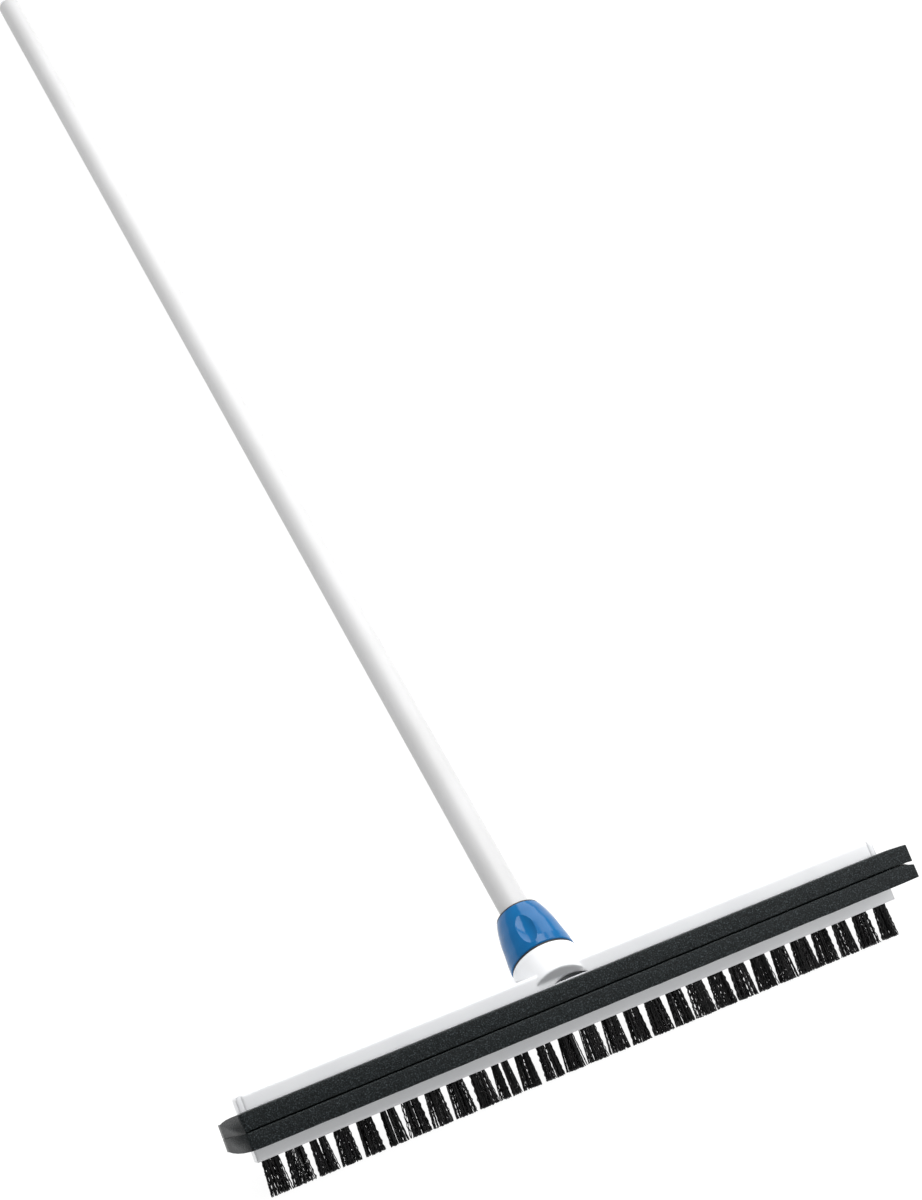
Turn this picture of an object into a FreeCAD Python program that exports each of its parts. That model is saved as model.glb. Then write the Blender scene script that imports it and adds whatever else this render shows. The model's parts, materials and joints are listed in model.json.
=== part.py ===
import FreeCAD, Part
import math
import os
import Sketcher
from FreeCAD import Placement, Rotation, Vector

# Scrub brush and double-blade squeegee head on a twist-locked pole, lying at rest.
#
# Two working frames are used, both in millimetres.
# Pole frame: local Z runs up the pole from the head, and Z = 0 is just above the collar's mouth.
# Head frame: X runs along the head, Y is the way the foam blades point, Z is the way the bristles
# point, and the origin is the middle of the head's rear edge, on its front face.
# Every sub-part is drawn in one of them, and its Placement carries it to the row frame.

SIZES = {
    # pole
    "pole_radius": 11.0,
    "pole_wall": 1.2,
    "pole_top": 1246.0,
    "pole_foot": -66.0,
    "plug_flange": 2.0,
    "plug_height": 30.0,
    "plug_chamfer": 0.8,
    "pin_sink": 0.2,
    "plug_pin_radius": 2.0,
    "plug_pin_station": -50.0,
    "cap_flange": 2.5,
    "cap_height": 25.0,
    "fit_gap": 0.3,
    # neck and socket
    "neck_radius": 24.2,
    "neck_top": -54.5,
    "neck_chamfer": 1.0,
    "ramp_foot": 6.5,
    "ramp_slope": 1.2,
    "neck_reach": -86.0,
    "socket_floor": -70.0,
    "spigot_radius": 17.0,
    "spigot_top": -34.0,
    "bush_radius": 12.8,
    "bush_top": -36.0,
    "groove_depth": 1.6,
    "seal_station": -41.0,
    "seal_radius": 0.8,
    "snap_station": -50.5,
    "snap_height": 2.0,
    "snap_gap": 3.0,
    "snap_proud": 0.9,
    # collet, wedge ring and collar
    "collet_radius": 13.2,
    "collet_tip_radius": 12.4,
    "collet_top": -19.0,
    "collet_slots": 6,
    "collet_slot_width": 1.6,
    "wedge_inner": 13.6,
    "wedge_outer": 15.2,
    "wedge_low": -31.0,
    "wedge_high": -26.0,
    "wedge_room": 4.0,
    "collet_room": 1.0,
    "collar_low": -53.2,
    "collar_high": -13.4,
    "collar_mid": -32.0,
    "collar_skirt": -46.5,
    "collar_shoulder": -19.0,
    "collar_radius_low": 24.1,
    "collar_radius_skirt": 23.7,
    "collar_radius_mid": 21.9,
    "collar_radius_shoulder": 18.9,
    "collar_radius_high": 16.9,
    "collar_blend": 60.0,
    "collar_round": 0.9,
    "dimple_radius": 18.0,
    "dimple_length_radius": 28.0,
    "dimple_width_radius": 15.0,
    "dimple_station": -31.7,
    "dimple_reach": 37.6,
    "collar_turn": 30.0,
    "wiper_height": 1.0,
    "gasket_radius": 23.2,
    "gasket_height": 1.3,
    # head section
    "lean": 30.7,
    "edge_station": -73.2,
    "edge_rise": 20.0,
    "head_shift": 7.0,
    "head_length": 476.0,
    "cap_thickness": 4.0,
    "head_depth": 26.0,
    "head_height": 34.0,
    "back_wall": 3.0,
    "block_low": 43.8,
    "block_recess": 0.5,
    "channel_high": 10.8,
    "channel_low": 32.5,
    "channel_depth": 12.0,
    "rib_pitch": 57.0,
    "rib_thickness": 4.0,
    "pocket_depth": 9.0,
    "pocket_margin": 3.5,
    "drain_high": 6.9,
    "drain_low": 9.7,
    "drain_width": 25.0,
    "drain_depth": 14.0,
    "edge_round": 1.2,
    "corner_round": 3.0,
    "trim_reach": 60.0,
    "overcut": 1.0,
    # blades
    "keeper_thickness": 1.5,
    "keeper_proud": 0.8,
    "keeper_tab": 6.7,
    "tab_overlap": 1.0,
    "tab_width": 7.0,
    "tab_corner": 2.0,
    "divider_thickness": 1.0,
    "blade_reach": 42.7,
    "blade_thickness": 11.95,
    "blade_half_length": 242.5,
    "blade_root_overhang": 10.5,
    "blade_split": 0.7,
    # bristles
    "tuft_count": 29,
    "tuft_pitch": 16.35,
    "tuft_line": -11.0,
    "tuft_length": 24.1,
    "tuft_root_width": 11.2,
    "tuft_tip_width": 15.7,
    "tuft_root_depth": 8.4,
    "tuft_tip_depth": 11.5,
    "tuft_hole_radius": 4.0,
    "tuft_hole_depth": 7.0,
    "anchor_height": 1.4,
    "anchor_width": 6.0,
    "anchor_thickness": 0.8,
    # fasteners
    "screw_radius": 2.0,
    "screw_head_radius": 3.8,
    "screw_crown_radius": 2.7,
    "screw_head_height": 2.2,
    "screw_slot_width": 0.95,
    "screw_length": 12.0,
    "clamp_screw_radius": 2.5,
    "clamp_screw_length": 9.0,
    "clamp_screw_sink": 0.8,
    "hex_recess": 1.25,
    "hex_depth": 3.0,
}

BLOCK_SCREW_PITCHES = (-12.5, -7.5, -2.5, 2.5, 7.5, 12.5)    # between tufts, in tuft pitches from the middle
CLAMP_SCREW_STATIONS = (-200, -120, -50, 50, 120, 200)       # along the head
DIMPLE_TURNS = (45, 135, 225, 315)                           # round the collar, in degrees
RIB_POCKETS = (-3.5, -2.5, -1.5, 1.5, 2.5, 3.5)              # in rib pitches from the middle
OPENING_SPREAD = 9.0    # radius of the ring of corners a new outline opens on, before it is bound
TOLERANCE = 0.01        # slack when an edge is picked by its place
LONG_EDGE = 100.0       # edges along the head are longer than this

doc = FreeCAD.newDocument("ScrubBrushSqueegee")
sheet = doc.addObject("Spreadsheet::Sheet", "Sizes")
for row, (alias, value) in enumerate(SIZES.items(), start=1):
    sheet.set(f"A{row}", alias)
    sheet.set(f"B{row}", str(value))
    sheet.setAlias(f"B{row}", alias)
doc.recompute()


def size(alias):
    return float(getattr(sheet, alias))


# ---------------------------------------------------------------- placements

LEAN = size("lean")
BLOCK_LEVEL = "(Sizes.head_height + Sizes.block_low) / 2"


def head_to_tool():
    """From the head frame to the tool frame, whose Y runs up the pole and whose Z is up."""
    base = Vector(size("head_shift"), size("edge_station"), size("edge_rise"))
    return Placement(base, Rotation(Vector(1, 0, 0), 90 + LEAN))


def pole_to_tool():
    return Placement(Vector(0, 0, 0), Rotation(Vector(1, 0, 0), -90))


def rest_tilt():
    """Tips and pole end touch one level floor, so the tool frame turns a little about X."""
    tip = Vector(0, size("tuft_line") - size("tuft_tip_depth") / 2,
                 size("block_low") + size("tuft_length"))
    low_tip = head_to_tool().multVec(tip)
    drop = -size("pole_radius") - low_tip.z
    reach = size("pole_top") - low_tip.y
    return Placement(Vector(0, 0, 0), Rotation(Vector(1, 0, 0), -math.degrees(math.atan2(drop, reach))))


TILT = rest_tilt()
HEAD = TILT * head_to_tool()
POLE = TILT * pole_to_tool()
sub_parts = []


def keep(part, name, placement):
    """Name a finished sub-part and put it in the row frame."""
    part.Label = name
    part.Placement = placement
    sub_parts.append(part)
    return part


# ------------------------------------------------------------- sketch helpers

def new_body(name):
    return doc.addObject("PartDesign::Body", name.title().replace("_", ""))


def new_sketch(body, name, role, offset=0.0, turn=0.0, shift=(0.0, 0.0)):
    """A sketch on one of the body's own planes, moved along its normal and turned in it."""
    sketch = body.newObject("Sketcher::SketchObject", name)
    support = next(item for item in body.Origin.OriginFeatures if item.Role == role)
    sketch.AttachmentSupport = [(support, "")]
    sketch.MapMode = "FlatFace"
    sketch.AttachmentOffset = Placement(Vector(shift[0], shift[1], offset), Rotation(Vector(0, 0, 1), turn))
    return sketch


def bind(sketch, constraint, expression):
    index = sketch.addConstraint(constraint)
    sketch.setExpression(f"Constraints[{index}]", expression)


def add_outline(sketch, corners):
    """A closed polygon: each corner is a pair of expressions, across and up from the origin."""
    first = sketch.GeometryCount
    count = len(corners)
    turns = [2 * math.pi * i / count for i in range(count)]
    spots = [Vector(OPENING_SPREAD * math.cos(turn), OPENING_SPREAD * math.sin(turn), 0) for turn in turns]
    for i in range(count):
        sketch.addGeometry(Part.LineSegment(spots[i], spots[(i + 1) % count]))
    for i, (across, up) in enumerate(corners):
        line = first + i
        sketch.addConstraint(Sketcher.Constraint("Coincident", line, 2, first + (i + 1) % count, 1))
        bind(sketch, Sketcher.Constraint("DistanceX", -1, 1, line, 1, spots[i].x), across)
        bind(sketch, Sketcher.Constraint("DistanceY", -1, 1, line, 1, spots[i].y), up)


def add_circle(sketch, across, up, radius):
    line = sketch.addGeometry(Part.Circle(Vector(1, 1, 0), Vector(0, 0, 1), 1))
    bind(sketch, Sketcher.Constraint("DistanceX", -1, 1, line, 3, 1), across)
    bind(sketch, Sketcher.Constraint("DistanceY", -1, 1, line, 3, 1), up)
    bind(sketch, Sketcher.Constraint("Radius", line, 1), radius)


def pad(body, sketch, length, symmetric=False):
    feature = body.newObject("PartDesign::Pad", "Pad")
    feature.Profile = sketch
    feature.setExpression("Length", length)
    if symmetric:
        feature.SideType = "Symmetric"
    return feature


def pocket(body, sketch, depth, reverse=False):
    """A pocket that must take material away."""
    doc.recompute()
    before = body.Shape.Volume
    feature = body.newObject("PartDesign::Pocket", "Pocket")
    feature.Profile = sketch
    feature.setExpression("Length", depth)
    feature.Reversed = reverse
    doc.recompute()
    if body.Shape.Volume > before - TOLERANCE:
        raise RuntimeError(f"{body.Name}: {feature.Name} cuts nothing")
    return feature


def revolve(body, sketch, kind="Revolution"):
    feature = body.newObject(f"PartDesign::{kind}", kind)
    feature.Profile = sketch
    feature.ReferenceAxis = (sketch, ["V_Axis"])
    feature.Angle = 360
    return feature


def turned(name, corners):
    """A body turned about the pole's axis: corners are radius and height."""
    body = new_body(name)
    sketch = new_sketch(body, f"{name}_section", "XZ_Plane")
    add_outline(sketch, corners)
    revolve(body, sketch)
    return body


def head_bar(name, corners, length):
    """A bar along the head: corners are front and down, in the head frame."""
    body = new_body(name)
    sketch = new_sketch(body, f"{name}_section", "YZ_Plane")
    add_outline(sketch, corners)
    pad(body, sketch, length, symmetric=True)
    return body


def ring_corners(inner, outer, low, high):
    return [(inner, low), (outer, low), (outer, high), (inner, high)]


def round_edges(body, radius, wanted):
    """Fillet the edges of the body's tip that the test picks."""
    doc.recompute()
    tip = body.Tip
    names = [f"Edge{i}" for i, edge in enumerate(tip.Shape.Edges, start=1) if wanted(edge)]
    feature = body.newObject("PartDesign::Fillet", "Fillet")
    feature.Base = (tip, names)
    feature.setExpression("Radius", radius)
    doc.recompute()
    return feature


def along_head(edge):
    """Long straight edges parallel to the head."""
    box = edge.BoundBox
    return box.XLength > LONG_EDGE and box.YLength < TOLERANCE and box.ZLength < TOLERANCE


# ------------------------------------------------------------------ head body

def head_section(bottom):
    """The moulding's section: front and down, with the blade channel in its front face."""
    return [
        ("0", "0"),
        ("0", "Sizes.channel_high"),
        ("-Sizes.channel_depth", "Sizes.channel_high"),
        ("-Sizes.channel_depth", "Sizes.channel_low"),
        ("0", "Sizes.channel_low"),
        ("0", "Sizes.head_height"),
        ("-Sizes.head_depth + Sizes.back_wall", "Sizes.head_height"),
        ("-Sizes.head_depth + Sizes.back_wall", bottom),
        ("-Sizes.head_depth", bottom),
        ("-Sizes.head_depth", "0"),
    ]


def axis_sketch(body, name):
    """A sketch in the pole's upright plane whose V axis is the pole's axis."""
    zero = head_to_tool().inverse().multVec(Vector(0, 0, 0))
    return new_sketch(body, name, "YZ_Plane", offset=zero.x, turn=180 - LEAN, shift=(zero.y, zero.z))


def make_head_body():
    body = head_bar("head_body", head_section("Sizes.block_low"),
                    "Sizes.head_length - 2 * Sizes.cap_thickness")
    corners = {(0.0, 0.0), (-size("head_depth"), 0.0), (-size("head_depth"), size("block_low"))}

    def outer(edge):
        spot = edge.Vertexes[0].Point
        return along_head(edge) and (round(spot.y, 3), round(spot.z, 3)) in corners
    round_edges(body, "Sizes.edge_round", outer)

    neck = axis_sketch(body, "neck_section")
    add_outline(neck, [
        ("0", "Sizes.neck_reach"),
        ("Sizes.neck_radius", "Sizes.neck_reach"),
        ("Sizes.neck_radius", "Sizes.neck_top - Sizes.neck_chamfer"),
        ("Sizes.neck_radius - Sizes.neck_chamfer", "Sizes.neck_top"),
        ("Sizes.spigot_radius", "Sizes.neck_top"),
        ("Sizes.spigot_radius", "Sizes.spigot_top"),
        ("0", "Sizes.spigot_top"),
    ])
    revolve(body, neck)
    trim_neck(body)

    bore = axis_sketch(body, "socket_section")
    add_outline(bore, [
        ("0", "Sizes.socket_floor"),
        ("Sizes.bush_radius", "Sizes.socket_floor"),
        ("Sizes.bush_radius", "Sizes.spigot_top + Sizes.overcut"),
        ("0", "Sizes.spigot_top + Sizes.overcut"),
    ])
    revolve(body, bore, "Groove")
    grooves = (
        ("seal_groove", "Sizes.seal_station - Sizes.seal_radius", "Sizes.seal_station + Sizes.seal_radius"),
        ("snap_groove", "Sizes.snap_station", "Sizes.snap_station + Sizes.snap_height"),
    )
    for name, low, high in grooves:
        groove = axis_sketch(body, name)
        add_outline(groove, ring_corners("Sizes.spigot_radius - Sizes.groove_depth",
                                         "Sizes.spigot_radius + Sizes.overcut", low, high))
        revolve(body, groove, "Groove")
    cut_back_pockets(body)
    cut_drain(body)
    cut_screw_holes(body)
    return body


def trim_neck(body):
    """Clear the blade channel, and run the neck out into the front face down a short ramp."""
    channel = new_sketch(body, "channel_clear", "YZ_Plane")
    add_outline(channel, [
        ("0", "Sizes.channel_high"),
        ("Sizes.trim_reach", "Sizes.channel_high"),
        ("Sizes.trim_reach", "Sizes.channel_low"),
        ("0", "Sizes.channel_low"),
        ("-Sizes.channel_depth", "Sizes.channel_low"),
        ("-Sizes.channel_depth", "Sizes.channel_high"),
    ])
    clear = pocket(body, channel, "Sizes.neck_radius * 3")
    clear.SideType = "Symmetric"
    front = new_sketch(body, "front_clear", "YZ_Plane")
    reach = "Sizes.trim_reach"
    far = "Sizes.ramp_foot - Sizes.trim_reach * Sizes.ramp_slope"
    add_outline(front, [("0", "Sizes.ramp_foot"), (reach, far), (reach, reach), ("0", reach)])
    clear = pocket(body, front, "Sizes.neck_radius * 3")
    clear.SideType = "Symmetric"


def cut_back_pockets(body):
    """Moulded recesses between ribs in the back face, away from the neck and the screws."""
    back = new_sketch(body, "rib_pockets", "XZ_Plane", offset=size("head_depth"))
    half = "(Sizes.rib_pitch - Sizes.rib_thickness) / 2"
    for number in RIB_POCKETS:
        left = f"{number} * Sizes.rib_pitch - {half}"
        right = f"{number} * Sizes.rib_pitch + {half}"
        add_outline(back, [(left, "Sizes.pocket_margin"), (right, "Sizes.pocket_margin"),
                           (right, "Sizes.head_height - Sizes.pocket_margin"),
                           (left, "Sizes.head_height - Sizes.pocket_margin")])
    pocket(body, back, "Sizes.pocket_depth")


def cut_drain(body):
    """An arched drain slot through the front face at the foot of the neck."""
    sketch = new_sketch(body, "drain_slot", "XZ_Plane")
    half = size("drain_width") / 2
    rise = size("drain_low") - size("drain_high")
    radius = (half ** 2 + rise ** 2) / (2 * rise)
    spread = math.asin(half / radius)
    centre = Vector(0, size("drain_high") + radius, 0)
    arc = Part.ArcOfCircle(Part.Circle(centre, Vector(0, 0, 1), radius),
                           -math.pi / 2 - spread, -math.pi / 2 + spread)
    sketch.addGeometry(arc)
    sketch.addGeometry(Part.LineSegment(arc.EndPoint, arc.StartPoint))
    sketch.addConstraint(Sketcher.Constraint("Coincident", 0, 2, 1, 1))
    sketch.addConstraint(Sketcher.Constraint("Coincident", 1, 2, 0, 1))
    sketch.addConstraint(Sketcher.Constraint("PointOnObject", 0, 3, -2))
    sketch.addConstraint(Sketcher.Constraint("Horizontal", 1))
    bind(sketch, Sketcher.Constraint("DistanceX", 0, 1, 0, 2, 2 * half), "Sizes.drain_width")
    bind(sketch, Sketcher.Constraint("DistanceY", -1, 1, 0, 1, size("drain_low")), "Sizes.drain_low")
    bind(sketch, Sketcher.Constraint("Radius", 0, radius),
         "((Sizes.drain_width / 2) ^ 2 + (Sizes.drain_low - Sizes.drain_high) ^ 2)"
         " / (2 * (Sizes.drain_low - Sizes.drain_high))")
    pocket(body, sketch, "Sizes.drain_depth", reverse=True)


def cut_screw_holes(body):
    """Holes for the block screws in the back wall and for the clamp screws in the rear face."""
    wall = new_sketch(body, "block_screw_holes", "XZ_Plane", offset=size("head_depth"))
    for pitches in BLOCK_SCREW_PITCHES:
        add_circle(wall, f"{pitches} * Sizes.tuft_pitch", BLOCK_LEVEL, "Sizes.screw_radius")
    pocket(body, wall, "Sizes.back_wall")
    rear = new_sketch(body, "clamp_screw_holes", "XY_Plane")
    for station in CLAMP_SCREW_STATIONS:
        add_circle(rear, str(station), "-Sizes.channel_depth / 2", "Sizes.clamp_screw_radius")
    pocket(body, rear, "Sizes.channel_high", reverse=True)


# ------------------------------------------------------------ head's own parts

def make_end_cap(name, side):
    """A plate that closes the moulding's end, notched for the blades."""
    body = new_body(name)
    shift = side * (size("head_length") / 2 - size("cap_thickness") / 2)
    sketch = new_sketch(body, f"{name}_section", "YZ_Plane", offset=shift)
    add_outline(sketch, head_section("Sizes.head_height"))
    pad(body, sketch, "Sizes.cap_thickness", symmetric=True)
    end = side * size("head_length") / 2

    def rear_corner(edge):
        box = edge.BoundBox
        at_end = abs(box.XMin - end) < TOLERANCE and box.XLength < TOLERANCE
        return at_end and box.ZMax < TOLERANCE and box.ZLength < TOLERANCE
    round_edges(body, "Sizes.corner_round", rear_corner)
    return body


def make_keeper(name, high, tab):
    """A strip that presses one side of the foam in the channel; the upper one has a pull tab."""
    length = "Sizes.head_length"
    body = head_bar(name, [
        ("-Sizes.channel_depth", high),
        ("Sizes.keeper_proud", high),
        ("Sizes.keeper_proud", f"{high} + Sizes.keeper_thickness"),
        ("-Sizes.channel_depth", f"{high} + Sizes.keeper_thickness"),
    ], length)
    if tab:
        sketch = new_sketch(body, "pull_tab", "XY_Plane", offset=size("channel_high"))
        root = "-Sizes.head_length / 2 + Sizes.tab_overlap"
        end = "-Sizes.head_length / 2 - Sizes.keeper_tab"
        front, back = "Sizes.keeper_proud", "Sizes.keeper_proud - Sizes.tab_width"
        add_outline(sketch, [
            (root, front),
            (f"{end} + Sizes.tab_corner", front),
            (end, f"{front} - Sizes.tab_corner"),
            (end, f"{back} + Sizes.tab_corner"),
            (f"{end} + Sizes.tab_corner", back),
            (root, back),
        ])
        pad(body, sketch, "Sizes.keeper_thickness")
    return body


def make_blade(name, inner_root, outer_root, inner_edge, outer_edge):
    """A foam blade: pinched at the root, thicker at the wiping edge, ends cut on a slant."""
    body = head_bar(name, [
        ("-Sizes.channel_depth", inner_root),
        ("-Sizes.channel_depth", outer_root),
        ("Sizes.keeper_proud", outer_root),
        ("Sizes.blade_reach", outer_edge),
        ("Sizes.blade_reach", inner_edge),
        ("Sizes.keeper_proud", inner_root),
    ], "2 * (Sizes.blade_half_length + Sizes.blade_root_overhang)")
    for side in ("1", "-1"):
        sketch = new_sketch(body, "slant", "XY_Plane")
        edge = f"{side} * Sizes.blade_half_length"
        root = f"{side} * (Sizes.blade_half_length + Sizes.blade_root_overhang)"
        beyond = f"{side} * (Sizes.blade_half_length + 2 * Sizes.blade_root_overhang)"
        add_outline(sketch, [
            (beyond, "-Sizes.channel_depth - Sizes.overcut"),
            (beyond, "Sizes.blade_reach + Sizes.overcut"),
            (edge, "Sizes.blade_reach + Sizes.overcut"),
            (edge, "Sizes.blade_reach"),
            (root, "Sizes.keeper_proud"),
            (root, "-Sizes.channel_depth - Sizes.overcut"),
        ])
        pocket(body, sketch, "Sizes.block_low", reverse=True)
    return body


def make_divider():
    middle = "(Sizes.channel_high + Sizes.channel_low) / 2"
    return head_bar("blade_divider", [
        ("-Sizes.channel_depth", f"{middle} - Sizes.divider_thickness / 2"),
        ("-Sizes.keeper_proud", f"{middle} - Sizes.divider_thickness / 2"),
        ("-Sizes.keeper_proud", f"{middle} + Sizes.divider_thickness / 2"),
        ("-Sizes.channel_depth", f"{middle} + Sizes.divider_thickness / 2"),
    ], "Sizes.head_length")


def make_bristle_block():
    body = head_bar("bristle_block", [
        ("-Sizes.block_recess", "Sizes.head_height"),
        ("-Sizes.block_recess", "Sizes.block_low"),
        ("-Sizes.head_depth + Sizes.back_wall", "Sizes.block_low"),
        ("-Sizes.head_depth + Sizes.back_wall", "Sizes.head_height"),
    ], "Sizes.head_length")
    sketch = new_sketch(body, "tuft_holes", "XY_Plane", offset=size("block_low"))
    for number in range(int(size("tuft_count"))):
        add_circle(sketch, tuft_station(number), "Sizes.tuft_line", "Sizes.tuft_hole_radius")
    pocket(body, sketch, "Sizes.tuft_hole_depth")
    screws = new_sketch(body, "screw_holes", "XZ_Plane", offset=size("head_depth"))
    for pitches in BLOCK_SCREW_PITCHES:
        add_circle(screws, f"{pitches} * Sizes.tuft_pitch", BLOCK_LEVEL, "Sizes.screw_radius")
    pocket(body, screws, "Sizes.screw_length")
    return body


def tuft_station(number):
    return f"({number} - (Sizes.tuft_count - 1) / 2) * Sizes.tuft_pitch"


def make_tuft(number):
    """One tuft as a plain solid: a shank in its hole and a flared bundle below the block."""
    bundle = doc.addObject("Part::Wedge", f"Bundle{number}")
    shape = {
        "Xmin": "-Sizes.tuft_root_width / 2", "Xmax": "Sizes.tuft_root_width / 2",
        "X2min": "-Sizes.tuft_tip_width / 2", "X2max": "Sizes.tuft_tip_width / 2",
        "Zmin": "-Sizes.tuft_root_depth / 2", "Zmax": "Sizes.tuft_root_depth / 2",
        "Z2min": "-Sizes.tuft_tip_depth / 2", "Z2max": "Sizes.tuft_tip_depth / 2",
        "Ymin": "0", "Ymax": "Sizes.tuft_length",
    }
    for name, expression in shape.items():
        bundle.setExpression(name, expression)
    shank = doc.addObject("Part::Cylinder", f"Shank{number}")
    shank.setExpression("Radius", "Sizes.tuft_hole_radius")
    shank.setExpression("Height", "Sizes.tuft_hole_depth - Sizes.anchor_height")
    shank.Placement = Placement(Vector(0, 0, 0), Rotation(Vector(1, 0, 0), 90))
    tuft = doc.addObject("Part::Fuse", f"Tuft{number}")
    tuft.Base = bundle
    tuft.Tool = shank
    return tuft


def tuft_place(number):
    """Where a tuft's root is; its own Y axis then points the way the bristles do."""
    along = (number - (size("tuft_count") - 1) / 2) * size("tuft_pitch")
    root = Vector(along, size("tuft_line"), size("block_low"))
    return Placement(root, Rotation(Vector(1, 0, 0), 90))


def make_anchors():
    """A flat metal staple at the bottom of each tuft hole."""
    staples = []
    for number in range(int(size("tuft_count"))):
        staple = doc.addObject("Part::Box", f"Staple{number}")
        staple.setExpression("Length", "Sizes.anchor_width")
        staple.setExpression("Width", "Sizes.anchor_thickness")
        staple.setExpression("Height", "Sizes.anchor_height")
        middle = Vector(-size("anchor_width") / 2, -size("anchor_thickness") / 2, -size("tuft_hole_depth"))
        root = tuft_place(number).Base
        staple.Placement = Placement(root + middle, Rotation())
        staples.append(staple)
    group = doc.addObject("Part::Compound", "Anchors")
    group.Links = staples
    return group


def make_block_screws():
    """Pan-head screws through the back wall into the bristle block."""
    screws = []
    level = (size("head_height") + size("block_low")) / 2
    for number, pitches in enumerate(BLOCK_SCREW_PITCHES):
        shank = doc.addObject("Part::Cylinder", f"BlockShank{number}")
        shank.setExpression("Radius", "Sizes.screw_radius")
        shank.setExpression("Height", "Sizes.screw_length")
        head = doc.addObject("Part::Cone", f"BlockHead{number}")
        head.setExpression("Radius1", "Sizes.screw_crown_radius")
        head.setExpression("Radius2", "Sizes.screw_head_radius")
        head.setExpression("Height", "Sizes.screw_head_height")
        head.Placement = Placement(Vector(0, 0, -size("screw_head_height")), Rotation())
        recess = doc.addObject("Part::Box", f"BlockSlot{number}")
        recess.setExpression("Length", "Sizes.screw_head_radius")
        recess.setExpression("Width", "Sizes.screw_slot_width")
        recess.setExpression("Height", "Sizes.screw_head_height / 2")
        recess.Placement = Placement(Vector(-size("screw_head_radius") / 2, -size("screw_slot_width") / 2,
                                            -size("screw_head_height")), Rotation())
        solid = doc.addObject("Part::Fuse", f"BlockSolid{number}")
        solid.Base, solid.Tool = head, shank
        screw = doc.addObject("Part::Cut", f"BlockScrew{number}")
        screw.Base, screw.Tool = solid, recess
        screw.Placement = Placement(Vector(pitches * size("tuft_pitch"), -size("head_depth"), level),
                                    Rotation(Vector(1, 0, 0), -90))
        screws.append(screw)
    group = doc.addObject("Part::Compound", "BlockScrews")
    group.Links = screws
    return group


def make_clamp_screws():
    """Socket set screws in the rear face that press the upper keeper on the foam."""
    screws = []
    for number, station in enumerate(CLAMP_SCREW_STATIONS):
        shank = doc.addObject("Part::Cylinder", f"ClampShank{number}")
        shank.setExpression("Radius", "Sizes.clamp_screw_radius")
        shank.setExpression("Height", "Sizes.clamp_screw_length")
        socket = doc.addObject("Part::Prism", f"ClampSocket{number}")
        socket.Polygon = 6
        socket.setExpression("Circumradius", "Sizes.hex_recess")
        socket.setExpression("Height", "Sizes.hex_depth")
        screw = doc.addObject("Part::Cut", f"ClampScrew{number}")
        screw.Base, screw.Tool = shank, socket
        screw.Placement = Placement(Vector(station, -size("channel_depth") / 2, size("clamp_screw_sink")),
                                    Rotation())
        screws.append(screw)
    group = doc.addObject("Part::Compound", "ClampScrews")
    group.Links = screws
    return group


# ------------------------------------------------------- socket, lock and pole

def make_socket_bush():
    return turned("socket_bush", ring_corners("Sizes.pole_radius + Sizes.fit_gap", "Sizes.bush_radius",
                                              "Sizes.socket_floor", "Sizes.bush_top"))


def make_collet():
    """A split sleeve on the bush: its tapered fingers close on the pole when wedged."""
    body = turned("collet", [
        ("Sizes.pole_radius + Sizes.fit_gap", "Sizes.bush_top"),
        ("Sizes.bush_radius", "Sizes.bush_top"),
        ("Sizes.bush_radius", "Sizes.spigot_top"),
        ("Sizes.collet_radius", "Sizes.spigot_top"),
        ("Sizes.collet_radius", "Sizes.wedge_high"),
        ("Sizes.collet_tip_radius", "Sizes.collet_top"),
        ("Sizes.pole_radius + Sizes.fit_gap", "Sizes.collet_top"),
    ])
    count = int(size("collet_slots"))
    for number in range(count // 2):
        slot = new_sketch(body, f"slot{number}", "XY_Plane", offset=size("collet_top"),
                          turn=360 * number / count)
        half = "Sizes.collet_slot_width / 2"
        reach = "Sizes.collet_radius + Sizes.overcut"
        add_outline(slot, [(f"-({reach})", f"-{half}"), (reach, f"-{half}"),
                           (reach, half), (f"-({reach})", half)])
        pocket(body, slot, "Sizes.collet_top - Sizes.wedge_low")
    return body


def make_wedge_ring():
    return turned("wedge_ring", ring_corners("Sizes.wedge_inner", "Sizes.wedge_outer",
                                             "Sizes.wedge_low", "Sizes.wedge_high"))


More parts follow.
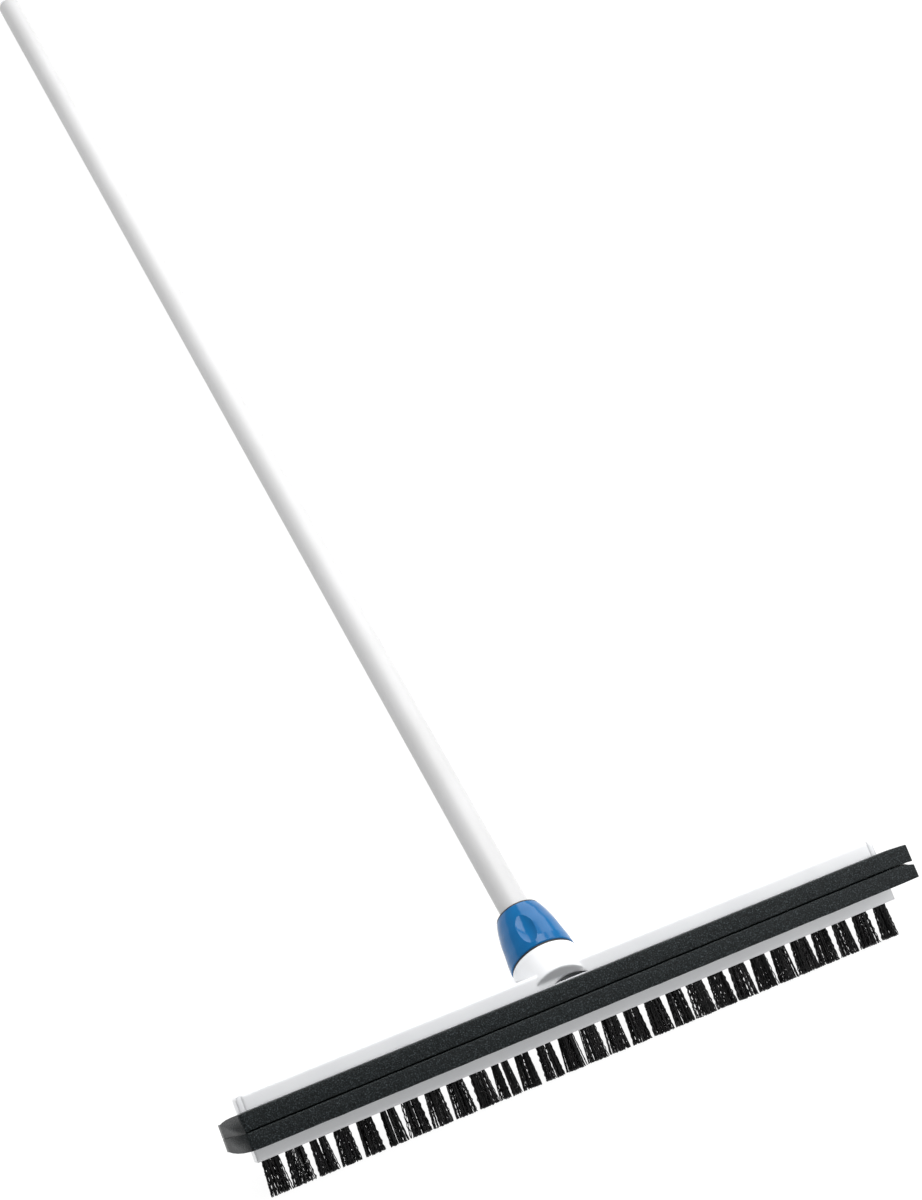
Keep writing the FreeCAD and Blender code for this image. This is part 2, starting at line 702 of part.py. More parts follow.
def make_collar():
    """A barrel-shaped twist collar with finger dimples, hollow over the spigot and collet."""
    bore = "Sizes.spigot_radius + Sizes.fit_gap"
    groove = "Sizes.spigot_radius + Sizes.snap_proud + Sizes.fit_gap"
    body = turned("lock_collar", [
        (bore, "Sizes.collar_low"),
        ("Sizes.collar_radius_low", "Sizes.collar_low"),
        ("Sizes.collar_radius_skirt", "Sizes.collar_skirt"),
        ("Sizes.collar_radius_mid", "Sizes.collar_mid"),
        ("Sizes.collar_radius_shoulder", "Sizes.collar_shoulder"),
        ("Sizes.collar_radius_high", "Sizes.collar_high"),
        ("Sizes.pole_radius + Sizes.fit_gap", "Sizes.collar_high"),
        ("Sizes.pole_radius + Sizes.fit_gap", "Sizes.collet_top + Sizes.collet_room"),
        ("Sizes.collet_radius + Sizes.fit_gap", "Sizes.collet_top + Sizes.collet_room"),
        ("Sizes.wedge_outer + Sizes.fit_gap", "Sizes.wedge_high + Sizes.wedge_room"),
        ("Sizes.wedge_outer + Sizes.fit_gap", "Sizes.spigot_top + Sizes.fit_gap"),
        (bore, "Sizes.spigot_top + Sizes.fit_gap"),
        (bore, "Sizes.snap_station + Sizes.snap_height + Sizes.fit_gap"),
        (groove, "Sizes.snap_station + Sizes.snap_height + Sizes.fit_gap"),
        (groove, "Sizes.snap_station - Sizes.fit_gap"),
        (bore, "Sizes.snap_station - Sizes.fit_gap"),
    ])
    waists = [(size("collar_radius_skirt"), size("collar_skirt")),
              (size("collar_radius_mid"), size("collar_mid")),
              (size("collar_radius_shoulder"), size("collar_shoulder"))]
    round_edges(body, "Sizes.collar_blend", lambda edge: ring_at(edge) in waists)
    rims = [(size("collar_radius_low"), size("collar_low")),
            (size("collar_radius_high"), size("collar_high"))]
    round_edges(body, "Sizes.collar_round", lambda edge: ring_at(edge) in rims)
    for turn in DIMPLE_TURNS:
        cut_dimple(body, turn)
    return body


def ring_at(edge):
    """Radius and height of an edge that is a circle about the pole's axis."""
    if edge.Curve.TypeId != "Part::GeomCircle" or not edge.isClosed():
        return None
    return round(edge.Curve.Radius, 4), round(edge.Curve.Center.z, 4)


def cut_dimple(body, turn):
    """A shallow oval hollow for a finger, longer up the pole than round it."""
    ball = body.newObject("PartDesign::SubtractiveEllipsoid", "Dimple")
    ball.setExpression("Radius1", "Sizes.dimple_length_radius")
    ball.setExpression("Radius2", "Sizes.dimple_radius")
    ball.setExpression("Radius3", "Sizes.dimple_width_radius")
    angle = math.radians(turn)
    reach = size("dimple_reach")
    centre = Vector(reach * math.cos(angle), reach * math.sin(angle), size("dimple_station"))
    ball.Placement = Placement(centre, Rotation(Vector(0, 0, 1), turn))


def make_collar_wiper():
    """A soft ring on the collar's mouth that keeps grit off the collet."""
    return turned("collar_wiper", ring_corners("Sizes.pole_radius + Sizes.fit_gap",
                                               "Sizes.collar_radius_high - Sizes.wiper_height / 2",
                                               "Sizes.collar_high",
                                               "Sizes.collar_high + Sizes.wiper_height"))


def make_gasket():
    """A flat soft ring on the neck's shoulder, under the collar."""
    return turned("collar_gasket", ring_corners("Sizes.spigot_radius", "Sizes.gasket_radius",
                                                "Sizes.neck_top", "Sizes.neck_top + Sizes.gasket_height"))


def make_seal():
    seal = doc.addObject("Part::Torus", "Seal")
    seal.setExpression("Radius1", "Sizes.spigot_radius - Sizes.groove_depth + Sizes.seal_radius")
    seal.setExpression("Radius2", "Sizes.seal_radius")
    return seal


def make_snap_ring():
    """A split ring in the spigot's groove that keeps the collar from pulling off."""
    body = turned("snap_ring", ring_corners("Sizes.spigot_radius - Sizes.groove_depth",
                                            "Sizes.spigot_radius + Sizes.snap_proud", "Sizes.snap_station",
                                            "Sizes.snap_station + Sizes.snap_height"))
    gap = new_sketch(body, "gap", "XY_Plane", offset=size("snap_station") + size("snap_height"))
    half, reach = "Sizes.snap_gap / 2", "Sizes.spigot_radius + Sizes.snap_proud + Sizes.overcut"
    add_outline(gap, [("0", f"-{half}"), (reach, f"-{half}"), (reach, half), ("0", half)])
    pocket(body, gap, "Sizes.snap_height")
    return body


def cut_pin_hole(body):
    """A cross hole for the plug's pin."""
    hole = new_sketch(body, "pin_hole", "YZ_Plane")
    add_circle(hole, "0", "Sizes.plug_pin_station", "Sizes.plug_pin_radius")
    feature = pocket(body, hole, "3 * Sizes.pole_radius")
    feature.SideType = "Symmetric"


def make_pole():
    body = turned("pole_tube", ring_corners("Sizes.pole_radius - Sizes.pole_wall", "Sizes.pole_radius",
                                            "Sizes.pole_foot", "Sizes.pole_top - Sizes.cap_flange"))
    cut_pin_hole(body)
    return body


def make_plug():
    body = turned("pole_plug", [
        ("0", "Sizes.pole_foot - Sizes.plug_flange"),
        ("Sizes.pole_radius - Sizes.plug_chamfer", "Sizes.pole_foot - Sizes.plug_flange"),
        ("Sizes.pole_radius", "Sizes.pole_foot - Sizes.plug_flange + Sizes.plug_chamfer"),
        ("Sizes.pole_radius", "Sizes.pole_foot"),
        ("Sizes.pole_radius - Sizes.pole_wall", "Sizes.pole_foot"),
        ("Sizes.pole_radius - Sizes.pole_wall", "Sizes.pole_foot + Sizes.plug_height"),
        ("0", "Sizes.pole_foot + Sizes.plug_height"),
    ])
    cut_pin_hole(body)
    return body


def make_cap():
    return turned("pole_cap", [
        ("0", "Sizes.pole_top - Sizes.cap_height"),
        ("Sizes.pole_radius - Sizes.pole_wall", "Sizes.pole_top - Sizes.cap_height"),
        ("Sizes.pole_radius - Sizes.pole_wall", "Sizes.pole_top - Sizes.cap_flange"),
        ("Sizes.pole_radius", "Sizes.pole_top - Sizes.cap_flange"),
        ("Sizes.pole_radius", "Sizes.pole_top"),
        ("0", "Sizes.pole_top"),
    ])


def make_pin():
    pin = doc.addObject("Part::Cylinder", "Pin")
    pin.setExpression("Radius", "Sizes.plug_pin_radius")
    pin.setExpression("Height", "2 * (Sizes.pole_radius - Sizes.pin_sink)")
    return pin


# -------------------------------------------------------------------- assembly

middle = "(Sizes.channel_high + Sizes.channel_low) / 2"
half_split = "Sizes.blade_split / 2"
upper_root = ("Sizes.channel_high + Sizes.keeper_thickness", f"{middle} - Sizes.divider_thickness / 2")
lower_root = ("Sizes.channel_low - Sizes.keeper_thickness", f"{middle} + Sizes.divider_thickness / 2")
upper_edge = (f"{middle} - {half_split} - Sizes.blade_thickness", f"{middle} - {half_split}")
lower_edge = (f"{middle} + {half_split} + Sizes.blade_thickness", f"{middle} + {half_split}")

keep(make_head_body(), "head_body", HEAD)
keep(make_end_cap("end_cap_left", -1), "end_cap_left", HEAD)
keep(make_end_cap("end_cap_right", 1), "end_cap_right", HEAD)
keep(make_keeper("blade_keeper_upper", "Sizes.channel_high", True), "blade_keeper_upper", HEAD)
keep(make_keeper("blade_keeper_lower", "Sizes.channel_low - Sizes.keeper_thickness", False),
     "blade_keeper_lower", HEAD)
keep(make_blade("foam_blade_upper", upper_root[1], upper_root[0], upper_edge[1], upper_edge[0]),
     "foam_blade_upper", HEAD)
keep(make_blade("foam_blade_lower", lower_root[1], lower_root[0], lower_edge[1], lower_edge[0]),
     "foam_blade_lower", HEAD)
keep(make_divider(), "blade_divider", HEAD)
keep(make_bristle_block(), "bristle_block", HEAD)
for index in range(int(size("tuft_count"))):
    keep(make_tuft(index), f"bristle_tuft_{index + 1:02d}", HEAD * tuft_place(index))
keep(make_anchors(), "tuft_anchors", HEAD)
keep(make_block_screws(), "block_screws", HEAD)
keep(make_clamp_screws(), "clamp_screws", HEAD)
keep(make_socket_bush(), "socket_bush", POLE)
keep(make_collet(), "collet", POLE)
keep(make_wedge_ring(), "wedge_ring", POLE)
collar_turn = Rotation(Vector(0, 0, 1), size("collar_turn"))
keep(make_collar(), "lock_collar", POLE * Placement(Vector(0, 0, 0), collar_turn))
keep(make_collar_wiper(), "collar_wiper", POLE)
keep(make_seal(), "collar_seal", POLE * Placement(Vector(0, 0, size("seal_station")), Rotation()))
keep(make_gasket(), "collar_gasket", POLE)
keep(make_snap_ring(), "snap_ring", POLE)
keep(make_pole(), "pole_tube", POLE)
keep(make_plug(), "pole_plug", POLE)
keep(make_cap(), "pole_cap", POLE)
pin_start = Vector(-size("pole_radius") + size("pin_sink"), 0, size("plug_pin_station"))
keep(make_pin(), "plug_pin", POLE * Placement(pin_start, Rotation(Vector(0, 1, 0), 90)))


def settle():
    """Bring the origin to the middle of the whole object's base."""
    doc.recompute()
    box = FreeCAD.BoundBox()
    for part in sub_parts:
        box.add(part.Shape.optimalBoundingBox(False))
    shift = Vector(-box.Center.x, -box.Center.y, -box.ZMin)
    for part in sub_parts:
        part.Placement = Placement(shift, Rotation()) * part.Placement
    doc.recompute()
    print("shift to the row origin", [round(value, 4) for value in shift])


def check():
    """Stop on any failed feature or unsound solid."""
    for item in doc.Objects:
        if {"Invalid", "Error"} & set(item.State):
            raise RuntimeError(f"{item.Name} ({item.Label}) failed: {item.State}")
    for part in sub_parts:
        if part.Shape.isNull() or not part.Shape.isValid() or not part.Shape.Solids:
            raise RuntimeError(f"{part.Label} has no sound shape")


settle()
check()
os.makedirs("parts", exist_ok=True)
for part in sub_parts:
    part.Shape.exportStep(f"parts/{part.Label}.step")
print(len(sub_parts), "sub-parts")
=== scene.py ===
import json
import math

import bpy
import numpy as np
from mathutils import Euler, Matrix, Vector, noise


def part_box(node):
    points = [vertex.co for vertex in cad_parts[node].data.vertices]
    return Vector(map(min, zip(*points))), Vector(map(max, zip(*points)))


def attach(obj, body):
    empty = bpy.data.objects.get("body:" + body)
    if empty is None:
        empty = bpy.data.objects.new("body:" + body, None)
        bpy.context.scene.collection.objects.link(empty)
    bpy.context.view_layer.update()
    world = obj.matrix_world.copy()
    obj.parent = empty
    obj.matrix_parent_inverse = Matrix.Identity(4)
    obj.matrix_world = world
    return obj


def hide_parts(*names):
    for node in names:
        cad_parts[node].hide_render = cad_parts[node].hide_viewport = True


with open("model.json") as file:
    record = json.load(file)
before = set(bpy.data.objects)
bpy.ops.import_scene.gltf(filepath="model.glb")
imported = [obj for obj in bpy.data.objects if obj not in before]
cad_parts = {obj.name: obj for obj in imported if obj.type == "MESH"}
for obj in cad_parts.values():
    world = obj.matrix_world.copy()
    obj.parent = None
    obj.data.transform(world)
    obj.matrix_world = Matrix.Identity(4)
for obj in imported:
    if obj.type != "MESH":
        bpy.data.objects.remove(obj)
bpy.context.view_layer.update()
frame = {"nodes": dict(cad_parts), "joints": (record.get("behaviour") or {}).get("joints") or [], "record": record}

# Looks of a scrub brush with a double foam squeegee blade on a twist-locked pole.
# Lengths are metres. The head frame runs along the head (x), the way the blades point (front)
# and the way the bristles point (down), from the middle of the head's rear edge on its front face.

MM = 0.001

# head frame, as the CAD has it
LEAN = math.radians(30.7)
HEAD_SHIFT = 7.0 * MM
EDGE_STATION = -73.2 * MM
EDGE_RISE = 20.0 * MM
BLOCK_LOW = 43.8 * MM

# foam blades: a section is lofted along the head in this many steps
BLADE_STEPS = 260
BLADE_LIP = 1.1 * MM
LUMP_PITCH = 9 * MM      # the foam's edge wanders over about this length
LUMP_DEPTH = 0.22 * MM
OPENING_REACH = 16 * MM  # the right end opens over this length
CLOSING_REACH = 4 * MM   # the left end closes over this length
CHANNEL_HIGH = 10.8 * MM
CHANNEL_LOW = 32.5 * MM
CHANNEL_DEPTH = 12.0 * MM
KEEPER = 1.5 * MM
KEEPER_PROUD = 0.8 * MM
DIVIDER = 1.0 * MM
BLADE_REACH = 42.7 * MM
BLADE_THICK = 11.95 * MM
BLADE_SPLIT = 0.7 * MM
BLADE_HALF = 242.5 * MM
BLADE_OVERHANG = 10.5 * MM

# bristles
TUFTS = 29
TUFT_PITCH = 16.35 * MM
TUFT_LINE = -11.0 * MM
TUFT_LENGTH = 24.1 * MM
FILAMENTS = 66
FILAMENT_RADIUS = 0.36 * MM
FILAMENT_RINGS = 13
FILAMENT_SIDES = 5
FIRST_SEED = 100
LAST_TUFT_WIDTH = 0.72   # the tuft at the right end is narrower than the rest

POLE = next(joint for joint in frame["joints"] if joint["name"] == "collar_twist")
UP_POLE = Vector(POLE["axis"]).normalized()
ALONG = Vector((1, 0, 0))
OVER = ALONG.cross(UP_POLE)
FRONT = OVER * math.cos(LEAN) - UP_POLE * math.sin(LEAN)
DOWN = -UP_POLE * math.cos(LEAN) - OVER * math.sin(LEAN)
HEAD = Vector(POLE["pos_m"]) + ALONG * HEAD_SHIFT + UP_POLE * EDGE_STATION + OVER * EDGE_RISE


def on_head(x, front, down):
    """Row-frame place of a point of the head frame."""
    return HEAD + ALONG * x + FRONT * front + DOWN * down


# ------------------------------------------------------------------ materials

def shader(name, color, roughness, **sockets):
    """A Principled material with constants set on the shader's own sockets."""
    material = bpy.data.materials.new(name)
    material.use_nodes = True
    principled = material.node_tree.nodes["Principled BSDF"]
    principled.inputs["Base Color"].default_value = (*color, 1)
    principled.inputs["Roughness"].default_value = roughness
    for socket, value in sockets.items():
        principled.inputs[socket.replace("_", " ")].default_value = value
    return material


def add_noise(material, scale, detail=3.0, stretch=(1, 1, 1)):
    """Noise over the object's own space, as a node whose outputs feed colour, gloss or bump."""
    nodes, links = material.node_tree.nodes, material.node_tree.links
    place = nodes.new("ShaderNodeTexCoord")
    mapping = nodes.new("ShaderNodeMapping")
    mapping.inputs["Scale"].default_value = stretch
    texture = nodes.new("ShaderNodeTexNoise")
    texture.inputs["Scale"].default_value = scale
    texture.inputs["Detail"].default_value = detail
    links.new(place.outputs["Object"], mapping.inputs["Vector"])
    links.new(mapping.outputs["Vector"], texture.inputs["Vector"])
    return texture


def add_bump(material, height, strength, distance):
    """Adds a bump to the shader, on top of any bump it already has."""
    nodes, links = material.node_tree.nodes, material.node_tree.links
    principled = nodes["Principled BSDF"]
    bump = nodes.new("ShaderNodeBump")
    bump.inputs["Strength"].default_value = strength
    bump.inputs["Distance"].default_value = distance
    links.new(height, bump.inputs["Height"])
    if principled.inputs["Normal"].links:
        links.new(principled.inputs["Normal"].links[0].from_socket, bump.inputs["Normal"])
    links.new(bump.outputs["Normal"], principled.inputs["Normal"])


def add_soft_edges(material, radius):
    """Rounds the shading where faces meet, as a moulding's small radii and blends do."""
    nodes, links = material.node_tree.nodes, material.node_tree.links
    bevel = nodes.new("ShaderNodeBevel")
    bevel.samples = 6
    bevel.inputs["Radius"].default_value = radius
    links.new(bevel.outputs["Normal"], nodes["Principled BSDF"].inputs["Normal"])


def add_ramp(material, factor, stops, socket):
    """Drives a shader socket from a texture through a colour ramp."""
    nodes, links = material.node_tree.nodes, material.node_tree.links
    ramp = nodes.new("ShaderNodeValToRGB")
    elements = ramp.color_ramp.elements
    while len(elements) < len(stops):
        elements.new(0.5)
    for element, (position, value) in zip(elements, stops):
        element.position = position
        element.color = (*value, 1) if isinstance(value, tuple) else (value, value, value, 1)
    links.new(factor, ramp.inputs["Fac"])
    links.new(ramp.outputs["Color"], material.node_tree.nodes["Principled BSDF"].inputs[socket])


def white_plastic():
    """Moulded plastic: faint cloudiness, satin gloss and a fine skin."""
    made = shader("white_plastic", (0.80, 0.81, 0.84), 0.38, IOR=1.49)
    cloud = add_noise(made, 35, 4)
    add_ramp(made, cloud.outputs["Fac"],
             [(0.3, (0.86, 0.87, 0.89)), (0.7, (0.90, 0.91, 0.925))], "Base Color")
    add_soft_edges(made, 3.0 * MM)
    skin = add_noise(made, 2200, 2)
    add_bump(made, skin.outputs["Fac"], 0.12, 0.0001)
    return made


def white_coating():
    """Stoved coating on the pole, with slight orange peel."""
    made = shader("white_coating", (0.55, 0.55, 0.55), 0.4, Specular_IOR_Level=0.35)
    wear = add_noise(made, 14, 5)
    add_ramp(made, wear.outputs["Fac"],
             [(0.3, (0.53, 0.53, 0.53)), (0.65, (0.56, 0.56, 0.563))], "Base Color")
    peel = add_noise(made, 900, 1)
    add_bump(made, peel.outputs["Fac"], 0.1, 0.00012)
    return made


def blue_plastic():
    made = shader("blue_plastic", (0.0005, 0.11, 0.30), 0.14, Specular_IOR_Level=0.35, IOR=1.45)
    cloud = add_noise(made, 60, 3)
    add_ramp(made, cloud.outputs["Fac"],
             [(0.3, (0.0003, 0.100, 0.28)), (0.7, (0.001, 0.120, 0.32))], "Base Color")
    skin = add_noise(made, 700, 2)
    add_bump(made, skin.outputs["Fac"], 0.06, 0.0001)
    return made


def black_foam():
    """Cellular rubber: open grain in colour and relief."""
    made = shader("black_foam", (0.006, 0.008, 0.009), 0.42, IOR=1.28)
    grain = add_noise(made, 1150, 5)
    add_ramp(made, grain.outputs["Fac"],
             [(0.36, (0.002, 0.003, 0.003)), (0.54, (0.006, 0.009, 0.010)), (0.70, (0.045, 0.056, 0.060))],
             "Base Color")
    add_bump(made, grain.outputs["Fac"], 0.6, 0.0006)
    pores = add_noise(made, 420, 2)
    add_bump(made, pores.outputs["Fac"], 0.4, 0.0008)
    return made


def black_bristle():
    made = shader("black_bristle", (0.002, 0.002, 0.003), 0.2, Specular_IOR_Level=0.22)
    tint = add_noise(made, 500, 2)
    add_ramp(made, tint.outputs["Fac"],
             [(0.35, (0.0008, 0.0008, 0.001)), (0.7, (0.004, 0.004, 0.005))], "Base Color")
    return made


def keeper_strip():
    made = shader("keeper_strip", (0.74, 0.75, 0.77), 0.36, Metallic=1.0)
    brush = add_noise(made, 900, 3, stretch=(0.02, 1, 1))
    add_ramp(made, brush.outputs["Fac"], [(0.3, 0.28), (0.7, 0.46)], "Roughness")
    add_bump(made, brush.outputs["Fac"], 0.15, 0.00005)
    return made


def steel():
    made = shader("steel", (0.60, 0.60, 0.61), 0.32, Metallic=1.0)
    brush = add_noise(made, 1500, 2)
    add_ramp(made, brush.outputs["Fac"], [(0.3, 0.25), (0.7, 0.42)], "Roughness")
    return made


def grey_plastic():
    made = shader("grey_plastic", (0.30, 0.31, 0.33), 0.5)
    skin = add_noise(made, 900, 3)
    add_ramp(made, skin.outputs["Fac"],
             [(0.3, (0.27, 0.28, 0.30)), (0.7, (0.33, 0.34, 0.36))], "Base Color")
    add_bump(made, skin.outputs["Fac"], 0.15, 0.0001)
    return made


def black_rubber():
    made = shader("black_rubber", (0.016, 0.016, 0.017), 0.6)
    skin = add_noise(made, 1600, 3)
    add_ramp(made, skin.outputs["Fac"], [(0.3, 0.5), (0.7, 0.72)], "Roughness")
    add_bump(made, skin.outputs["Fac"], 0.2, 0.0001)
    return made


MAKERS = (white_plastic, white_coating, blue_plastic, black_foam, black_bristle,
          keeper_strip, steel, grey_plastic, black_rubber)
MATERIALS = {maker.__name__: maker() for maker in MAKERS}


# Two of the CAD nodes dressed here are painted light: the black ring in the gap under the lock collar is painted
# shade in that gap, and the thin black ring on the collar's top rim is a painted dark reflection.
def dress_cad_nodes():
    """Gives every carried-over CAD node the material that the record names for it."""
    for entry in frame["record"]["subparts"]:
        node = frame["nodes"][entry["node"]]
        node.data.materials.clear()
        node.data.materials.append(MATERIALS[entry["material_slot"]])


# --------------------------------------------------------------------- pieces

def add_piece(name, points, faces, slot, body, *stands_for):
    """A smooth mesh piece that rides on a CAD body and stands for CAD nodes."""
    mesh = bpy.data.meshes.new(name)
    mesh.from_pydata([tuple(point) for point in points], [], faces)
    mesh.validate()
    mesh.update()
    mesh.shade_smooth()
    piece = bpy.data.objects.new(name, mesh)
    bpy.context.scene.collection.objects.link(piece)
    mesh.materials.append(MATERIALS[slot])
    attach(piece, body)
    if stands_for:
        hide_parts(*stands_for)
    return piece


def tuft_filaments(rng, width, lean):
    """Centre lines of one tuft's crimped filaments, as an array of filament, ring and (x, front, down)."""
    u = np.linspace(0, 1, FILAMENT_RINGS)
    side = np.repeat([-1, 1], FILAMENTS // 2)
    slit = rng.uniform(0.2, 0.9) * MM
    share = rng.uniform(0, 1, FILAMENTS)
    depth = rng.uniform(-1, 1, FILAMENTS)
    edge = np.sqrt(1 - 0.55 * depth ** 2)
    root_x = side * (slit + share * (5.6 * MM * width - slit) * edge)
    root_f = depth * 3.9 * MM
    tip_x = (side * share * 7.6 * MM * width * edge + rng.normal(0, 0.35, FILAMENTS) * MM) + lean
    tip_f = np.clip(depth * 5.0 * MM + rng.normal(0, 0.3, FILAMENTS) * MM, -5.3 * MM, 5.3 * MM)
    length = TUFT_LENGTH - rng.uniform(0.0, 0.5, FILAMENTS) * MM
    start = -0.8 * MM
    clump = rng.uniform(0, 2 * math.pi, 2)[(side > 0).astype(int)]
    phase = clump + rng.normal(0, 0.9, FILAMENTS)
    swing = rng.uniform(0.28, 0.55, FILAMENTS) * MM
    turn = rng.uniform(0, math.pi, FILAMENTS)
    waves = rng.uniform(4.2, 5.2, FILAMENTS)
    wave = np.sin(2 * math.pi * waves[:, None] * u + phase[:, None]) * swing[:, None] * np.minimum(1, 6 * u)
    x = root_x[:, None] + (tip_x - root_x)[:, None] * u + wave * np.cos(turn)[:, None]
    front = root_f[:, None] + (tip_f - root_f)[:, None] * u + wave * np.sin(turn)[:, None] * 0.6
    down = start + (length[:, None] - start) * u
    return np.stack([x, front, down], -1)


def tubes(lines, radius, sides):
    """Points and faces of closed tubes round centre lines that all run the same way."""
    count, rings, _ = lines.shape
    angle = 2 * math.pi * np.arange(sides) / sides
    ring = np.stack([np.cos(angle), np.sin(angle), np.zeros(sides)], -1) * radius
    points = (lines[:, :, None, :] + ring).reshape(-1, 3)
    faces = []
    for tube in range(count):
        base = tube * rings * sides
        for level in range(rings - 1):
            for i in range(sides):
                j = (i + 1) % sides
                low, high = base + level * sides, base + (level + 1) * sides
                faces.append((low + i, low + j, high + j, high + i))
        faces.append(tuple(base + i for i in reversed(range(sides))))
        faces.append(tuple(base + (rings - 1) * sides + i for i in range(sides)))
    return points, faces


def make_tufts():
    for number in range(TUFTS):
        rng = np.random.default_rng(FIRST_SEED + number)
        width = rng.uniform(0.92, 1.04)
        if number == TUFTS - 1:
            width = LAST_TUFT_WIDTH
        lines = tuft_filaments(rng, width, rng.normal(0, 0.35) * MM)
        points, faces = tubes(lines, FILAMENT_RADIUS, FILAMENT_SIDES)
        middle = (number - (TUFTS - 1) / 2) * TUFT_PITCH
        placed = [on_head(middle + x, TUFT_LINE + f, BLOCK_LOW + d) for x, f, d in points]
        name = f"bristle_tuft_{number + 1:02d}"
        add_piece(f"tuft_of_bristles_{number + 1:02d}", placed, faces, "black_bristle", "head", name)


def arc(centre, radius, start, stop, steps=5):
    """Points of a quarter round in a blade's section, from one angle to another in degrees."""
    spots = []
    for i in range(steps):
        angle = math.radians(start + (stop - start) * i / (steps - 1))
        spots.append((centre[0] + radius * math.cos(angle), centre[1] + radius * math.sin(angle)))
    return spots


def blade_section(inner_root, outer_root, inner_edge, outer_edge):
    """A blade's section, (front, down): square root in its channel, swelling past the keeper, round lips."""
    way = 1 if outer_edge > inner_edge else -1
    lip = BLADE_LIP
    section = [(-CHANNEL_DEPTH, inner_root), (KEEPER_PROUD, inner_root)]
    for share in (0.15, 0.35, 0.6, 0.85):
        swell = 1 - (1 - share) ** 2
        section.append((share * BLADE_REACH, inner_root + (inner_edge - inner_root) * swell))
    section += [(f, inner_edge + way * d) for f, d in arc((BLADE_REACH - lip, lip), lip, -90, 0)]
    section += [(f, outer_edge - way * d) for f, d in reversed(arc((BLADE_REACH - lip, lip), lip, -90, 0))]
    for share in (0.85, 0.6, 0.35, 0.15):
        swell = 1 - (1 - share) ** 3
        section.append((share * BLADE_REACH, outer_root + (outer_edge - outer_root) * swell))
    section += [(KEEPER_PROUD, outer_root), (-CHANNEL_DEPTH, outer_root)]
    return section


def make_blade(name, node, section, opening, closing):
    """Lofts a section along the head, cut on a slant at its ends; the right end opens, the left closes."""
    points, faces = [], []
    count = len(section)
    for step in range(BLADE_STEPS + 1):
        share = 2 * step / BLADE_STEPS - 1
        for front, down in section:
            out = 1 - max(front, 0) / BLADE_REACH
            x = share * (BLADE_HALF + BLADE_OVERHANG * out)
            grow = 0.0
            if front > 0:
                spot = Vector((x, front, down)) / LUMP_PITCH
                grow = noise.noise(spot) * LUMP_DEPTH
            near_end = max(0.0, (x - BLADE_HALF + OPENING_REACH) / OPENING_REACH)
            shift = opening(down) * near_end ** 2 * (1 - out)
            shift += closing * min(1.0, max(0.0, (-x - BLADE_HALF + CLOSING_REACH) / CLOSING_REACH))
            points.append(on_head(x, front + grow * (1 - out), down + grow * 0.6 * (1 - out) + shift))
    for step in range(BLADE_STEPS):
        for i in range(count):
            j = (i + 1) % count
            low, high = step * count, (step + 1) * count
            faces.append((low + i, high + i, high + j, low + j))
    faces.append(tuple(range(count)))
    faces.append(tuple(BLADE_STEPS * count + i for i in reversed(range(count))))
    piece = add_piece(name, points, faces, "black_foam", "head", node)
    return piece


def make_blades():
    middle = (CHANNEL_HIGH + CHANNEL_LOW) / 2
    half_split, half_divider = BLADE_SPLIT / 2, DIVIDER / 2
    upper = blade_section(middle - half_divider, CHANNEL_HIGH + KEEPER,
                          middle - half_split, middle - half_split - BLADE_THICK)
    lower = blade_section(middle + half_divider, CHANNEL_LOW - KEEPER,
                          middle + half_split, middle + half_split + BLADE_THICK)
    make_blade("blade_of_foam_upper", "foam_blade_upper", upper, lambda down: 1.0 * MM, 0.3 * MM)
    make_blade("blade_of_foam_lower", "foam_blade_lower", lower,
               lambda down: 2.6 * MM if down < middle + 6 * MM else -0.2 * MM, -0.3 * MM)


# ---------------------------------------------------------------------- studio

CAMERA_PLACE = (-0.3605, -1.3106, 1.2999)
CAMERA_TURN = (41.148, 0.986, -24.287)
CAMERA_LENS = 64.43
CAMERA_SENSOR = 36.0
WORLD_LIGHT = 0.45
FLOOR_REACH = 6.0
FLOOR_GLOW = 0.93

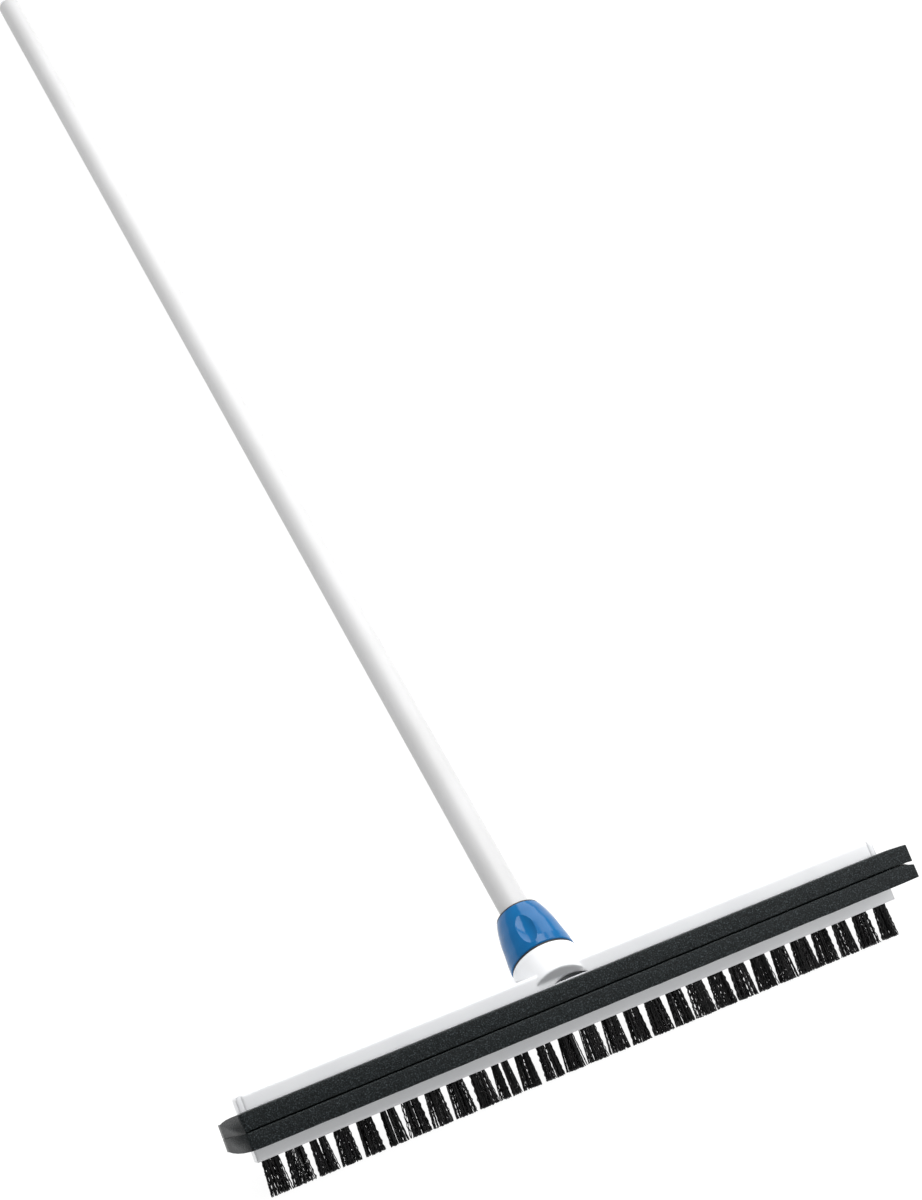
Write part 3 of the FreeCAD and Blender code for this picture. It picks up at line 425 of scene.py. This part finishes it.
# name, way from the collar, distance, width, height, radiance
SOFTBOXES = (
    ("key", (0.78, -0.40, 0.62), 1.7, 1.1, 1.1, 2.6),
    ("top", (0.20, 0.34, 0.90), 1.6, 1.2, 1.2, 5.0),
    ("back_right", (0.42, 0.80, 0.40), 1.6, 1.3, 0.9, 2.4),
)


def add_floor():
    mesh = bpy.data.meshes.new("floor")
    reach = FLOOR_REACH
    mesh.from_pydata([(-reach, -reach, 0), (reach, -reach, 0), (reach, reach, 0), (-reach, reach, 0)],
                     [], [(0, 1, 2, 3)])
    floor = bpy.data.objects.new("floor", mesh)
    bpy.context.scene.collection.objects.link(floor)
    made = shader("floor_paper", (0.16, 0.16, 0.16), 0.9,
                  Emission_Color=(1, 1, 1, 1), Emission_Strength=FLOOR_GLOW)
    mesh.materials.append(made)


def add_softbox(name, target, way, distance, width, height, radiance):
    """An even rectangular light, placed from its target and aimed back at it."""
    data = bpy.data.lights.new(name, "AREA")
    data.shape = "RECTANGLE"
    data.size, data.size_y = width, height
    data.energy = radiance * math.pi * width * height
    lamp = bpy.data.objects.new(name, data)
    direction = Vector(way).normalized()
    lamp.location = Vector(target) + direction * distance
    lamp.rotation_euler = direction.to_track_quat("Z", "Y").to_euler()
    bpy.context.scene.collection.objects.link(lamp)


def add_camera():
    data = bpy.data.cameras.new("camera")
    data.sensor_width = CAMERA_SENSOR
    data.lens = CAMERA_LENS
    camera = bpy.data.objects.new("camera", data)
    camera.location = CAMERA_PLACE
    camera.rotation_euler = Euler([math.radians(angle) for angle in CAMERA_TURN])
    bpy.context.scene.collection.objects.link(camera)
    bpy.context.scene.camera = camera


def add_studio():
    scene = bpy.context.scene
    scene.view_settings.view_transform = "Standard"
    world = bpy.data.worlds.new("studio")
    world.use_nodes = True
    world.node_tree.nodes["Background"].inputs["Color"].default_value = (1, 1, 1, 1)
    world.node_tree.nodes["Background"].inputs["Strength"].default_value = WORLD_LIGHT
    scene.world = world
    add_floor()
    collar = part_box("lock_collar")
    target = (collar[0] + collar[1]) / 2
    for name, way, distance, width, height, radiance in SOFTBOXES:
        add_softbox(name, target, way, distance, width, height, radiance)
    add_camera()


dress_cad_nodes()
make_tufts()
make_blades()
add_studio()
